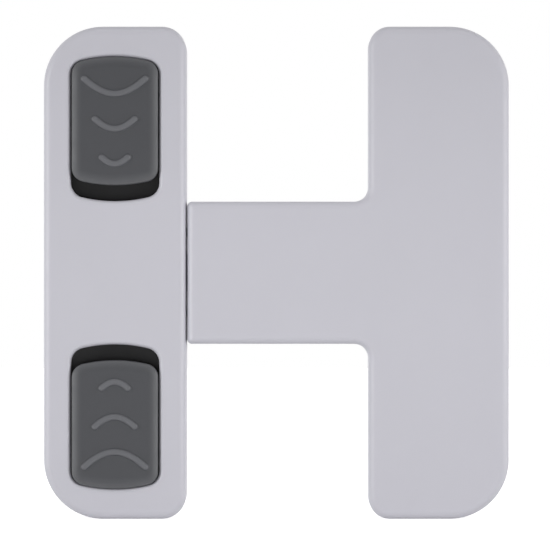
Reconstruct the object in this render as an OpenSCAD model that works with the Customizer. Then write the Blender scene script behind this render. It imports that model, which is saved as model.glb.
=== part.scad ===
// Cabinet safety lock: a latch bar with two sprung slide buttons, and a T-shaped catch that slides.
// Each piece is drawn in plan, with x to the right, y up the door and z out from the door.
// upright() stands the plan up: out from the door becomes -Y, and up the door becomes +Z.
// The origin is the middle of the latch bar, on the door.

/* [Overall] */
// Height of both bars
lock_h = 90; // [86:1:110]
// Width of the latch bar
latch_w = 26; // [25:0.1:30]
// Width of the catch bar
catch_w = 25.6; // [25:0.1:34]
// Length of the bridge, from the latch bar to the catch bar
bridge_l = 33.4; // [31:0.1:50]
// Height of the bridge
bridge_h = 26; // [25.5:0.5:30]
// Depth of the covers, from the door to the front face
lock_d = 15; // [14.8:0.1:18]
// Gap at the seam between the latch bar and the bridge
seam_gap = 0.2; // [0.15:0.05:0.8]

/* [Outline] */
// Radius of the outer corners of both bars
outer_r = 10.8; // [8:0.1:11.5]
// Radius of the latch bar's corners next to the seam
latch_inner_r = 4.4; // [3:0.1:8]
// Radius of the catch bar's corners on the bridge side
catch_inner_r = 3.8; // [3:0.1:8]
// Radius where the bridge runs into the catch bar
junction_r = 2.75; // [1:0.05:5]
// Radius of the bridge's corners at the seam
bridge_end_r = 0.9; // [0.3:0.1:1.5]
// Rounding of the covers' front edges
edge_r = 1.4; // [1:0.1:2.5]

/* [Shells] */
// Thickness of the covers' side walls
wall = 2; // [1.6:0.1:2.2]
// Thickness of the covers' front walls
front_wall = 2; // [1.6:0.1:2.2]
// Thickness of the base plates
base_t = 2; // [1.6:0.1:2.2]
// Thickness of the foam tape
pad_t = 1; // [0.6:0.1:1.2]
// Distance from a base plate's edge to its foam tape
pad_inset = 0.8; // [0.3:0.1:2]
// Clearance between fixed pieces that fit one in the other
fit_gap = 0.15; // [0.1:0.01:0.2]
// Clearance between pieces that slide
run_gap = 0.2; // [0.15:0.01:0.3]
// Width of the snap tabs at the ends of the latch base
tab_w = 8; // [5:0.5:9]
// Length and thickness of those snap tabs
tab_t = 1; // [0.6:0.1:1.2]

/* [Windows] */
// Width of each button window
window_w = 16.2; // [14:0.1:17]
// Height of each button window
window_h = 26.4; // [24:0.1:27]
// Distance from the end of the bar to the window
window_margin = 5.5; // [4.5:0.1:6]
// Radius of the window's bowed ends
window_bow_r = 26; // [20:0.5:60]
// Radius of the window's corners
window_corner_r = 2.7; // [1.5:0.1:4]
// Rounding of the window's front edge
window_edge_r = 0.8; // [0.4:0.1:1]
// Depth of the well behind each window, past the front wall
well_d = 2.4; // [1:0.1:2.8]
// Thickness of the wells' walls
well_t = 1; // [0.8:0.1:1.2]

/* [Buttons] */
// How far each button slides
button_travel = 2.8; // [2.5:0.1:3]
// Gap beside a button in its window
button_side_gap = 0.2; // [0.2:0.05:0.6]
// Gap left at each end of a button's travel
button_end_gap = 0.1; // [0.1:0.05:0.3]
// How far a button stands proud of the cover
button_proud = 0.8; // [0:0.1:1]
// Rounding of a button's front edge
button_edge_r = 1.4; // [0.6:0.1:1.6]
// Number of grip ribs on a button
rib_count = 3; // [1:1:3]
// Width of a grip rib
rib_w = 1.2; // [0.6:0.1:1.4]
// Height of a grip rib above the button
rib_h = 0.45; // [0.2:0.05:0.5]
// Distance from the button's outer end to the tip of the first rib
rib_first = 6.7; // [6:0.1:8]
// Distance from one rib to the next
rib_pitch = 6.4; // [4:0.1:6.5]
// Radius of the first rib's curve
rib_r = 6.6; // [5.5:0.1:7]
// Share of a rib's radius that the next rib has
rib_r_share = 0.67; // [0.6:0.01:0.9]
// Half of the angle that each rib spans
rib_angle = 56; // [30:1:60]

/* [Sliders] */
// Thickness of a slider's flange, which runs behind the well
flange_t = 1.5; // [1.2:0.1:2]
// Width of the pusher that squeezes a latch arm
pusher_w = 4.4; // [3:0.1:5]
// Thickness of the pusher
pusher_t = 2.5; // [1.5:0.1:3]
// Gap between the pusher and the latch arm at rest
pusher_play = 0.3; // [0.2:0.05:0.4]
// Radius of the pegs that hold the button on its slider
peg_r = 1.2; // [0.8:0.1:1.5]
// Height of those pegs
peg_h = 1.4; // [1:0.1:1.6]
// Distance between the two pegs
peg_pitch = 12; // [8:0.5:14]

/* [Springs] */
// Outer diameter of a button spring
spring_od = 4.6; // [4:0.1:5.2]
// Diameter of the spring wire
spring_wire = 0.5; // [0.4:0.05:0.6]
// Number of turns in a spring
spring_turns = 9; // [6:1:12]
// Length of a spring at rest
spring_l = 17; // [15:0.1:18]
// Width of the spring's two seats
seat_w = 7; // [6:0.1:8]
// Thickness of the spring's two seats
seat_t = 1.8; // [1.2:0.1:2]
// Length of the pins that centre a spring on its seats
seat_pin_l = 1.6; // [1:0.1:2]

/* [Latch arms] */
// Thickness of the arms and the tongue, out from the door
arm_d = 4; // [3:0.1:4.2]
// Thickness of an arm across the way it bends
arm_t = 1.8; // [1.4:0.1:2]
// Distance from the middle to an arm's outer face
arm_y = 8.2; // [7.8:0.1:8.6]
// Height of the hook at the arm's end
hook_h = 2.2; // [1.8:0.1:2.3]
// Length of the hook's crest
hook_crest = 2; // [1:0.1:2.5]
// Length of the hook from its shoulder to its tip
hook_l = 6.8; // [5:0.1:7]
// Free length of an arm, from its hook's shoulder to its anchor
arm_l = 13.2; // [11:0.1:14]
// Length of the anchor block
anchor_l = 10; // [7:0.5:12]
// Height of the anchor block
anchor_h = 7.4; // [6.5:0.1:7.8]
// Width of the tongue between the arms
tongue_w = 6.8; // [5:0.1:7.2]
// How far the tongue reaches into the latch bar
tongue_reach = 8; // [5:0.1:8.5]
// Height that lifts the arms and the tongue off the catch's base plate
arm_lift = 0.5; // [0.3:0.1:0.6]

/* [Slide] */
// How far the catch slides
slide_travel = 11; // [10:0.5:12]
// Thickness of the rail plate
rail_t = 2.2; // [1.8:0.1:2.3]
// Distance from the catch bar's edge to the rail plate's edge
rail_inset = 1.5; // [1:0.1:3]
// Length of each T stud on the rail plate
stud_l = 6; // [4:0.5:6.5]
// Width of a T stud's neck
stud_w = 5; // [4:0.1:6]
// How far a T stud's head reaches over its slot, on each side
stud_lip = 1.4; // [0.8:0.1:1.8]
// Width of the slit that lets a T stud snap in
stud_slit = 1; // [0.6:0.1:1.4]
// Thickness of a T stud's lip
stud_lip_t = 0.8; // [0.6:0.1:1]
// Height of the tapered end of a T stud
stud_tip_t = 1.4; // [1:0.1:2]
// Distance from the middle to the inner T studs
stud_in_y = 13.5; // [12.5:0.5:14]
// Distance from the middle to the outer T studs
stud_out_y = 33; // [31:0.5:34]

/* [Screws] */
// Radius of a screw's shank
screw_r = 1.05; // [0.8:0.05:1.2]
// Length of a screw
screw_l = 7; // [6:0.5:7.5]
// Radius of a screw's head
screw_head_r = 2; // [1.6:0.1:2.2]
// Radius of the cover's screw bosses
boss_r = 2.4; // [2.1:0.1:2.8]
// Distance from the middle of the latch bar to its screws, sideways
latch_screw_x = 6; // [5.5:0.1:6.5]
// Distance from the middle of the latch bar to its screws, up and down
latch_screw_y = 4.4; // [3.5:0.1:4.6]
// Distance from the middle to the catch bar's outer screws
catch_screw_y = 23.3; // [22.5:0.1:24]

/* [Hidden] */

shell_colour = "#C6C4CB";
button_colour = "#525156";
slider_colour = "#222025";
arm_colour = "#E6E4DE";
spring_colour = "#A9ABAF";
screw_colour = "#8E9094";
pad_colour = "#B9B9B6";

$fn = 48;
// Steps in a large corner, a small corner, a bowed end and an edge rounding
corner_steps = 10;
small_steps = 4;
bow_steps = 12;
edge_steps = 5;
// How far a cut runs past the face that it opens
over = 0.5;
// Smallest radius that an inset corner keeps
min_r = 0.2;
// Rings to a turn and sides to the wire of a spring
spring_rings = 8;
wire_sides = 6;
// Room round a screw's shank in its hole, and depth of a boss hole past the screw's tip
screw_gap = 0.05;
screw_tip_gap = 0.5;
// Width and depth of the cross in a screw's head, and the share of the head that it spans
cross_w = 0.5;
cross_d = 0.7;
cross_share = 1.25;

// Places across the door
bar_x0 = latch_w / 2 + bridge_l;
bar_x1 = bar_x0 + catch_w;
bar_x = (bar_x0 + bar_x1) / 2;
bridge_x0 = latch_w / 2 + seam_gap;
latch_wall_x = latch_w / 2 - wall;
shoulder_x = latch_wall_x - run_gap;
anchor_x0 = shoulder_x + arm_l;
anchor_x = anchor_x0 + anchor_l / 2;
tongue_x0 = latch_w / 2 - tongue_reach;
tongue_root_x = anchor_x0 - arm_t;

// Places out from the door
latch_floor_z = pad_t + base_t;
roof_z = lock_d - front_wall;
well_z = roof_z - well_d;
flange_top_z = well_z - run_gap;
flange_low_z = flange_top_z - flange_t;
rail_top_z = pad_t + rail_t;
catch_back_z = rail_top_z + run_gap + fit_gap;
catch_floor_z = catch_back_z + base_t;
arm_z = catch_floor_z + arm_lift;
arm_top_z = arm_z + arm_d;
button_top_z = lock_d + button_proud;
spring_z = (latch_floor_z + flange_low_z) / 2;

// Places up the door
window_out_y = lock_h / 2 - window_margin;
window_y = window_out_y - window_h / 2;
button_l = window_h - button_travel - 2 * button_end_gap;
button_w = window_w - 2 * button_side_gap;
button_y = window_out_y - button_end_gap - button_l / 2;
hook_y = arm_y + hook_h;
pusher_y = hook_y + pusher_play;
post_y = pusher_y + pusher_t + 2 * fit_gap;
spring_y = post_y + seat_t;
lug_y = spring_y + spring_l;
guide_end_y = lock_h / 2 - outer_r;
anchor_y = bridge_h / 2 - wall - 2 * run_gap - anchor_h / 2 - arm_lift;

// Openings that the arms and the tongue slide through
slot_h = 2 * (arm_y + 2 * run_gap);
slot_low_z = arm_z - run_gap - fit_gap;
slot_high_z = arm_top_z + run_gap + fit_gap;

// Stud slots in the catch's base plate: the stud stands at the slot's right end at rest
stud_slot_l = stud_l + slide_travel + 2 * fit_gap;
stud_slot_w = stud_w + 2 * run_gap;
stud_slot_x0 = bar_x - stud_slot_l / 2;
stud_x1 = stud_slot_x0 + stud_slot_l - fit_gap;
stud_neck_z = catch_floor_z + run_gap;

// Guides for the sliders on the latch base, set in from the side walls
guide_w = wall;
guide_x1 = latch_wall_x - wall / 2;

// Stands a plan up against the door
module upright() {
    rotate([90, 0, 0]) children();
}

// The mirror image, below the middle, of a piece that stands upright
module lower() {
    mirror([0, 0, 1]) children();
}

// Both an upper shape in plan and its mirror image below
module both_ends() {
    children();
    mirror([0, 1, 0]) children();
}

// A block given by its low and high corners
module block(low, high) {
    translate(low) cube(high - low);
}

function arc(centre, r, from, to, steps) = [
    for (k = [0:steps]) let (a = from + (to - from) * k / steps) centre + r * [cos(a), sin(a)]
];

function inset_r(r, inset) = max(r - inset, min_r);

// Outline of a box with a radius of its own on the left and on the right corners
function bar_outline(x0, x1, h, left_r, right_r) = [
    each arc([x0 + left_r, left_r - h / 2], left_r, 180, 270, corner_steps),
    each arc([x1 - right_r, right_r - h / 2], right_r, 270, 360, corner_steps),
    each arc([x1 - right_r, h / 2 - right_r], right_r, 0, 90, corner_steps),
    each arc([x0 + left_r, h / 2 - left_r], left_r, 90, 180, corner_steps)
];

function latch_outline(inset) = bar_outline(
    inset - latch_w / 2, latch_w / 2 - inset, lock_h - 2 * inset,
    inset_r(outer_r, inset), inset_r(latch_inner_r, inset)
);

function rail_outline(inset) = bar_outline(
    bar_x0 + inset, bar_x1 - inset, lock_h - 2 * inset,
    inset_r(catch_inner_r, inset), inset_r(outer_r, inset)
);

// Upper half of the catch's outline, from the right edge's middle to the bridge's left edge
function catch_half(inset) = let (
    top = lock_h / 2 - inset,
    x0 = bridge_x0 + inset,
    x1 = bar_x0 + inset,
    x2 = bar_x1 - inset,
    r0 = inset_r(bridge_end_r, inset),
    r1 = inset_r(catch_inner_r, inset),
    r2 = inset_r(outer_r, inset),
    junction = [bar_x0 - junction_r, bridge_h / 2 + junction_r],
    bridge_top = bridge_h / 2 - inset
) [
    each arc([x2 - r2, top - r2], r2, 0, 90, corner_steps),
    each arc([x1 + r1, top - r1], r1, 90, 180, corner_steps),
    each arc(junction, junction_r + inset, 360, 270, corner_steps),
    each arc([x0 + r0, bridge_top - r0], r0, 90, 180, small_steps)
];

function mirrored(points) = [for (k = [len(points) - 1:-1:0]) [points[k].x, -points[k].y]];

function catch_outline(inset) = [each catch_half(inset), each mirrored(catch_half(inset))];

// Upper right quarter of an outline with straight sides and bowed ends
function bowed_corner(w, h, bow_r, r) = let (
    bow = h / 2 - bow_r,
    x = w / 2 - r,
    y = bow + sqrt((bow_r - r) ^ 2 - x ^ 2),
    turn = atan2(y - bow, x)
) concat(arc([x, y], r, 0, turn, small_steps), arc([0, bow], bow_r, turn, 90, bow_steps));

function without_first(points) = [for (k = [1:len(points) - 1]) points[k]];

function flipped(points) = [for (k = [len(points) - 1:-1:0]) [-points[k].x, points[k].y]];

// The arcs of a quarter meet at one point, and so do the two quarters
function bowed_half(w, h, bow_r, r) = let (
    quarter = bowed_corner(w, h, bow_r, r),
    met = [for (k = [0:len(quarter) - 1]) if (k != small_steps) quarter[k]]
) [each met, each without_first(flipped(met))];

function bowed_outline(w, h, bow_r, r) = let (half = bowed_half(w, h, bow_r, r)) [
    each half, each mirrored(half)
];

function window_outline(grow) = bowed_outline(
    window_w + 2 * grow, window_h + 2 * grow, window_bow_r + grow, window_corner_r + grow
);

function button_outline(inset) = bowed_outline(
    button_w - 2 * inset, button_l - 2 * inset,
    window_bow_r - button_side_gap - inset, window_corner_r - button_side_gap - inset
);

// Outline of a piece that fills the upper end of the latch bar, from height y0 up
function latch_end_outline(inset, y0) = let (
    x0 = inset - latch_w / 2,
    x1 = latch_w / 2 - inset,
    top = lock_h / 2 - inset,
    left_r = inset_r(outer_r, inset),
    right_r = inset_r(latch_inner_r, inset)
) [
    [x0, y0],
    [x1, y0],
    each arc([x1 - right_r, top - right_r], right_r, 0, 90, corner_steps),
    each arc([x0 + left_r, top - left_r], left_r, 90, 180, corner_steps)
];

function ring(points, z) = [for (p = points) [p.x, p.y, z]];

// A solid through a stack of rings, from the lowest up. Its ends are flat. Where a ring's second
// half mirrors its first, neck is the point past which strips across the ring close the ends.
module skin(rings, neck = undef) {
    n = len(rings[0]);
    last = len(rings) - 1;
    bend = is_undef(neck) ? n / 2 - 1 : neck;
    wide_end = [each [0:bend], each [n - 1 - bend:n - 1]];
    polyhedron(
        points = [for (r = rings) each r],
        faces = [
            wide_end,
            for (i = [bend:1:n / 2 - 2]) [i, i + 1, n - 2 - i, n - 1 - i],
            for (k = [0:last - 1]) for (i = [0:n - 1]) let (j = (i + 1) % n)
                [k * n + i, (k + 1) * n + i, (k + 1) * n + j],
            for (k = [0:last - 1]) for (i = [0:n - 1]) let (j = (i + 1) % n)
                [k * n + i, (k + 1) * n + j, k * n + j],
            [for (i = [len(wide_end) - 1:-1:0]) last * n + wide_end[i]],
            for (i = [bend:1:n / 2 - 2]) let (top = last * n)
                [top + n - 1 - i, top + n - 2 - i, top + i + 1, top + i]
        ]
    );
}

// Inset and height along a front edge rounded to radius r below height z
function edge_levels(r, z) = [
    for (k = [0:edge_steps]) let (a = 90 * k / edge_steps) [r * (1 - cos(a)), z - r + r * sin(a)]
];

// Places of the screws, each row from the top down
function latch_screws_at() = [for (way = [1, -1]) [-latch_screw_x, way * latch_screw_y]];

function bridge_screws_at() = [for (way = [1, -1]) [anchor_x, way * anchor_y]];

function bar_screws_at() = [for (way = [1, 0, -1]) [bar_x, way * catch_screw_y]];

function catch_screws_at() = concat(bridge_screws_at(), bar_screws_at());

// A countersunk screw driven from the door side, its head flush with height z
module screw(z) {
    difference() {
        union() {
            translate([0, 0, z]) cylinder(h = screw_head_r - screw_r, r1 = screw_head_r, r2 = screw_r);
            translate([0, 0, z]) cylinder(h = screw_l, r = screw_r);
        }
        for (turn = [0, 90]) rotate(turn) block(
            [-screw_r * cross_share, -cross_w / 2, z - over],
            [screw_r * cross_share, cross_w / 2, z + cross_d]
        );
    }
}

// The countersink and the clear hole for a screw, through a base plate whose back is at height z
module screw_hole(z) {
    head_room = screw_head_r + screw_gap;
    sink = head_room - screw_r;
    translate([0, 0, z - over]) cylinder(h = sink + over, r1 = head_room + over, r2 = screw_r);
    translate([0, 0, z - over]) cylinder(h = base_t + 2 * over, r = screw_r + fit_gap);
}

// The hole that a screw bites into, in a boss that starts at height z0 over a head at height z
module boss_hole(z0, z) {
    translate([0, 0, z0 - over])
        cylinder(h = z + screw_l + screw_tip_gap - z0 + over, r = screw_r + screw_gap);
}

module boss(z0, r) {
    translate([0, 0, z0]) cylinder(h = roof_z + front_wall / 2 - z0, r = r);
}

// The opening that a button stands in, with its front edge rounded
module window_cut() {
    levels = edge_levels(window_edge_r, lock_d);
    translate([0, window_y, 0]) skin([
        ring(window_outline(0), well_z - over),
        for (l = levels) ring(window_outline(l[0]), l[1]),
        ring(window_outline(window_edge_r), lock_d + over)
    ]);
}

// The wall round the well behind a window, which guides the button
module well_wall() {
    translate([0, window_y, well_z]) linear_extrude(well_d + front_wall / 2) polygon(window_outline(well_t));
}

// The opening in a cover's side wall, from x0 to x1, that the arms and the tongue slide through
module arm_slot(x0, x1) {
    block([x0, -slot_h / 2, slot_low_z], [x1, slot_h / 2, slot_high_z]);
}

module latch_shell() {
    difference() {
        skin([
            ring(latch_outline(0), pad_t),
            for (l = edge_levels(edge_r, lock_d)) ring(latch_outline(l[0]), l[1])
        ]);
        translate([0, 0, pad_t - over])
            linear_extrude(roof_z - pad_t + over) polygon(latch_outline(wall));
    }
}

// The tab that snaps the latch base into the cover's end wall, or with a gap the pocket for it
module snap_tab(gap) {
    x = (outer_r - latch_inner_r) / 2;
    y = lock_h / 2 - wall;
    block(
        [x - tab_w / 2 - gap, y - over, latch_floor_z - tab_t - gap],
        [x + tab_w / 2 + gap, y + tab_t - fit_gap + gap, latch_floor_z + gap]
    );
}

module latch_cover() color(shell_colour) upright() difference() {
    union() {
        latch_shell();
        both_ends() well_wall();
        for (p = latch_screws_at()) translate(p) boss(latch_floor_z, boss_r);
        // The rib that keeps the tongue from lifting
        block([tongue_x0, -tongue_w / 2, arm_top_z + run_gap], [latch_wall_x + over, tongue_w / 2, roof_z + over]);
    }
    both_ends() window_cut();
    both_ends() snap_tab(fit_gap);
    arm_slot(latch_wall_x - over, latch_w / 2 + over);
    for (p = latch_screws_at()) translate(p) boss_hole(latch_floor_z, pad_t);
}

// The pin that centres the spring on the seat at height y. It points up the door, or down with way -1.
module seat_pin(y, way) {
    translate([0, y - way * over, spring_z]) rotate([-90 * way, 0, 0])
        cylinder(h = seat_pin_l + over, r = spring_od / 2 - spring_wire - run_gap);
}

module spring_post() {
    block([-seat_w / 2, post_y, latch_floor_z - over], [seat_w / 2, spring_y, flange_low_z - run_gap]);
    seat_pin(spring_y, 1);
}

module slider_guide() {
    block(
        [guide_x1 - guide_w, post_y, latch_floor_z - over],
        [guide_x1, guide_end_y, flange_low_z - run_gap]
    );
}

module latch_base() color(shell_colour) upright() difference() {
    union() {
        translate([0, 0, pad_t]) linear_extrude(base_t) polygon(latch_outline(wall + fit_gap));
        both_ends() {
            snap_tab(0);
            spring_post();
            slider_guide();
            mirror([1, 0, 0]) slider_guide();
        }
        // The block that carries the tongue
        block(
            [tongue_x0, -tongue_w / 2, latch_floor_z - over],
            [latch_wall_x - 2 * fit_gap, tongue_w / 2, arm_z - run_gap]
        );
    }
    for (p = latch_screws_at()) translate(p) screw_hole(pad_t);
}

module placed_screw(p, z) color(screw_colour) upright() translate(p) screw(z);

module latch_pad() color(pad_colour) upright() {
    linear_extrude(pad_t) polygon(latch_outline(wall + fit_gap + pad_inset));
}

module rail_pad() color(pad_colour) upright() {
    linear_extrude(pad_t) polygon(rail_outline(rail_inset + pad_inset));
}

// A curved rib that points to the middle of the lock, at tip height y, with round ends
module grip_rib(r, y) {
    bevel = rib_h / 2;
    low = button_edge_r / 2;
    translate([0, y + r, button_top_z - low]) {
        rotate(270 - rib_angle) rotate_extrude(angle = 2 * rib_angle) translate([r, 0]) polygon([
            [-rib_w / 2, 0],
            [rib_w / 2, 0],
            [rib_w / 2, low + rib_h - bevel],
            [rib_w / 2 - bevel, low + rib_h],
            [bevel - rib_w / 2, low + rib_h],
            [-rib_w / 2, low + rib_h - bevel]
        ]);
        for (a = [270 - rib_angle, 270 + rib_angle]) rotate(a) translate([r, 0, 0]) {
            cylinder(h = low + rib_h - bevel, d = rib_w);
            translate([0, 0, low + rib_h - bevel]) cylinder(h = bevel, d1 = rib_w, d2 = rib_w - 2 * bevel);
        }
    }
}

module button_cap() color(button_colour) upright() difference() {
    union() {
        translate([0, button_y, 0]) skin([
            ring(button_outline(0), flange_top_z),
            for (l = edge_levels(button_edge_r, button_top_z)) ring(button_outline(l[0]), l[1])
        ]);
        for (k = [0:rib_count - 1])
            grip_rib(rib_r * rib_r_share ^ k, button_y + button_l / 2 - rib_first - k * rib_pitch);
    }
    button_pegs(peg_r + screw_gap, peg_h + fit_gap);
}

module button_pegs(r, h) {
    for (side = [-1, 1]) translate([0, button_y + side * peg_pitch / 2, flange_top_z - over])
        cylinder(h = h + over, r = r);
}

module slider() color(slider_colour) upright() {
    pusher_x1 = latch_wall_x - 2 * run_gap;
    translate([0, 0, flange_low_z]) linear_extrude(flange_t)
        polygon(latch_end_outline(wall + run_gap, pusher_y));
    button_pegs(peg_r, peg_h);
    block([pusher_x1 - pusher_w, pusher_y, arm_z], [pusher_x1, pusher_y + pusher_t, flange_low_z + over]);
    block(
        [-seat_w / 2, lug_y, latch_floor_z + run_gap],
        [seat_w / 2, lug_y + seat_t, flange_low_z + over]
    );
    seat_pin(lug_y, -1);
}

// Centre of the spring's wire at a share of its length, as seen from the seat on the post
function wire_point(share) = let (r = (spring_od - spring_wire) / 2, a = 360 * spring_turns * share) [
    r * cos(a),
    spring_y + spring_wire / 2 + share * (spring_l - spring_wire),
    spring_z + r * sin(a)
];

function wire_ring(share) = let (
    centre = wire_point(share),
    a = 360 * spring_turns * share,
    out = [cos(a), 0, sin(a)],
    slope = atan2(spring_l - spring_wire, PI * (spring_od - spring_wire) * spring_turns),
    across = [sin(a) * sin(slope), cos(slope), -cos(a) * sin(slope)]
) [
    for (k = [0:wire_sides - 1]) let (b = 360 * k / wire_sides)
        centre + spring_wire / 2 * (cos(b) * out + sin(b) * across)
];

module coil_spring() color(spring_colour) upright() {
    steps = spring_turns * spring_rings;
    skin([for (k = [0:steps]) wire_ring(k / steps)]);
}

module catch_shell() {
    difference() {
        skin([
            ring(catch_outline(0), catch_back_z),
            for (l = edge_levels(edge_r, lock_d)) ring(catch_outline(l[0]), l[1])
        ], neck = 2 * (corner_steps + 1));
        translate([0, 0, catch_back_z - over])
            linear_extrude(roof_z - catch_back_z + over) polygon(catch_outline(wall));
    }
}

module catch_cover() color(shell_colour) upright() difference() {
    union() {
        catch_shell();
        for (p = catch_screws_at()) translate(p) boss(catch_floor_z, boss_r);
        // The collars that hold down the latch arms' anchors
        both_ends() translate([anchor_x, anchor_y]) boss(arm_top_z, anchor_h / 2);
    }
    arm_slot(bridge_x0 - over, bridge_x0 + wall + over);
    for (p = catch_screws_at()) translate(p) boss_hole(catch_floor_z, catch_back_z);
}

module tongue() {
    block([tongue_x0, -tongue_w / 2, arm_z], [tongue_root_x, tongue_w / 2, arm_top_z]);
    block([bridge_x0 + wall + fit_gap, -tongue_w / 2, catch_back_z], [tongue_root_x, tongue_w / 2, arm_top_z]);
}

module stud_slot(y) {
    block(
        [stud_slot_x0, y - stud_slot_w / 2, catch_back_z - over],
        [stud_slot_x0 + stud_slot_l, y + stud_slot_w / 2, catch_floor_z + over]
    );
}

module catch_base() color(shell_colour) upright() difference() {
    union() {
        translate([0, 0, catch_back_z]) linear_extrude(base_t) polygon(catch_outline(wall + fit_gap));
        tongue();
    }
    both_ends() {
        stud_slot(stud_in_y);
        stud_slot(stud_out_y);
    }
    for (p = catch_screws_at()) translate(p) screw_hole(catch_back_z);
}

// A springy arm with a hook at its end, anchored on a boss of the catch's cover
module latch_arm() color(arm_colour) upright() difference() {
    inner_y = arm_y - arm_t;
    tip_x = shoulder_x - hook_l;
    tip_y = (inner_y + arm_y) / 2;
    union() {
        translate([0, 0, arm_z]) linear_extrude(arm_d) polygon([
            [tip_x, inner_y],
            [anchor_x0 + over, inner_y],
            [anchor_x0 + over, arm_y],
            [shoulder_x, arm_y],
            [shoulder_x, hook_y],
            [shoulder_x - hook_crest, hook_y],
            [tip_x, tip_y]
        ]);
        block(
            [anchor_x0, anchor_y - anchor_h / 2, catch_floor_z],
            [anchor_x0 + anchor_l, anchor_y + anchor_h / 2, arm_top_z]
        );
    }
    translate([anchor_x, anchor_y, catch_floor_z - over])
        cylinder(h = arm_top_z - catch_floor_z + 2 * over, r = boss_r + fit_gap);
}

// A split stud with a head at its end, which snaps through a slot in the catch's base plate
module t_stud(y) {
    side = stud_w / 2;
    lip_z = stud_neck_z + stud_lip_t;
    translate([stud_x1 - stud_l, y, 0]) rotate([90, 0, 90]) linear_extrude(stud_l)
        for (turn = [0, 1]) mirror([turn, 0]) polygon([
            [stud_slit / 2, rail_top_z - rail_t / 2],
            [side, rail_top_z - rail_t / 2],
            [side, stud_neck_z],
            [side + stud_lip, stud_neck_z],
            [side + stud_lip, lip_z],
            [side, lip_z + stud_tip_t],
            [stud_slit / 2, lip_z + stud_tip_t]
        ]);
}

module rail_plate() color(shell_colour) upright() {
    translate([0, 0, pad_t]) linear_extrude(rail_t) polygon(rail_outline(rail_inset));
    both_ends() {
        t_stud(stud_in_y);
        t_stud(stud_out_y);
    }
}

module upper_latch_screw() placed_screw(latch_screws_at()[0], pad_t);
module lower_latch_screw() placed_screw(latch_screws_at()[1], pad_t);
module upper_button() button_cap();
module lower_button() lower() button_cap();
module upper_slider() slider();
module lower_slider() lower() slider();
module upper_spring() coil_spring();
module lower_spring() rotate([0, 180, 0]) coil_spring();
module upper_bridge_screw() placed_screw(bridge_screws_at()[0], catch_back_z);
module lower_bridge_screw() placed_screw(bridge_screws_at()[1], catch_back_z);
module upper_bar_screw() placed_screw(bar_screws_at()[0], catch_back_z);
module middle_bar_screw() placed_screw(bar_screws_at()[1], catch_back_z);
module lower_bar_screw() placed_screw(bar_screws_at()[2], catch_back_z);
module upper_latch_arm() latch_arm();
module lower_latch_arm() lower() latch_arm();

latch_cover();
latch_base();
upper_latch_screw();
lower_latch_screw();
latch_pad();
upper_button();
upper_slider();
upper_spring();
lower_button();
lower_slider();
lower_spring();
catch_cover();
catch_base();
upper_bridge_screw();
lower_bridge_screw();
upper_bar_screw();
middle_bar_screw();
lower_bar_screw();
upper_latch_arm();
lower_latch_arm();
rail_plate();
rail_pad();
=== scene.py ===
import math

import bmesh
import bpy
import numpy as np
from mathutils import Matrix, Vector


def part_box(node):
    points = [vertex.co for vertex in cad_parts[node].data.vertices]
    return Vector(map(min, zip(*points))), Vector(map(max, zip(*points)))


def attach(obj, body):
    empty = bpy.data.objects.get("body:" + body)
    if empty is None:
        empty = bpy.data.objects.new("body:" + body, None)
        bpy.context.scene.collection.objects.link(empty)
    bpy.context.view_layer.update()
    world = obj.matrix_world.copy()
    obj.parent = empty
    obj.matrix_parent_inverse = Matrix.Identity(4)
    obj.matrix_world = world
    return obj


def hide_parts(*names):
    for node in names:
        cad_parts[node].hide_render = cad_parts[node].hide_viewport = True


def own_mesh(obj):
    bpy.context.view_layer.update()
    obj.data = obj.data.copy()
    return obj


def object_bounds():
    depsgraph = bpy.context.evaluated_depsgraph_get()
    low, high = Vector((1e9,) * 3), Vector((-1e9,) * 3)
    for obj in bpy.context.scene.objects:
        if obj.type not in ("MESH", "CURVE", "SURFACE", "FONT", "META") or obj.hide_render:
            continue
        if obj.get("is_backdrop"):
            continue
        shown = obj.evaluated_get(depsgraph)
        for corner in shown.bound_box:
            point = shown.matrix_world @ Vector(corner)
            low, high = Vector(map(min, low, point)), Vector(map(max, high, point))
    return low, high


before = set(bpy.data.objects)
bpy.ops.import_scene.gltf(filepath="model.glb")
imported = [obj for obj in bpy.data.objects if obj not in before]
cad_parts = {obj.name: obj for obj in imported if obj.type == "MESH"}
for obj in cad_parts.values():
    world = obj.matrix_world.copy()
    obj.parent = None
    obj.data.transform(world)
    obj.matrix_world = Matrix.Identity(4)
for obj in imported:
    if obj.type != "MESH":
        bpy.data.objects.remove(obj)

bl_info = {
    "name": "Cabinet safety lock",
    "version": (1, 0, 0),
    "blender": (4, 5, 0),
    "location": "3D View > Sidebar > Cabinet lock",
    "description": "Dresses the packed lock and sets its stage",
    "category": "Object",
}

MM = 0.001
FULL_TURN = 2 * math.pi

# The frame gives the sizes that the shells share with the solids.
LATCH_LOW, LATCH_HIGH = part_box("latch_cover")
CATCH_LOW, CATCH_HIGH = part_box("catch_cover")
CAP_LOW, CAP_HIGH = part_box("upper_button")
SPRING_LOW, SPRING_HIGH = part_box("upper_spring")
LATCH_PAD_LOW, LATCH_PAD_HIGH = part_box("latch_pad")
RAIL_PAD_LOW, RAIL_PAD_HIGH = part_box("rail_pad")

# The least corner that an inset leaves, the rounding of inner edges, how deep ribs and arms are sunk
# into what holds them, and half of an arm's anchor
LEAST_CORNER = 0.2 * MM
INNER_EDGE = 0.15 * MM
SUNK = 0.5 * MM
ANCHOR_HALF_WIDTH, ANCHOR_HALF_HEIGHT = 5 * MM, 3.7 * MM


def linear(code):
    """Linear red, green and blue of an sRGB hex code. A channel c is c / 12.92 up to 0.04045, and
    ((c + 0.055) / 1.055) to the power 2.4 above it."""
    channels = np.array([int(code[i:i + 2], 16) for i in (1, 3, 5)]) / 255
    low = channels / 12.92
    high = ((channels + 0.055) / 1.055) ** 2.4
    return tuple(float(c) for c in np.where(channels <= 0.04045, low, high))


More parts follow.
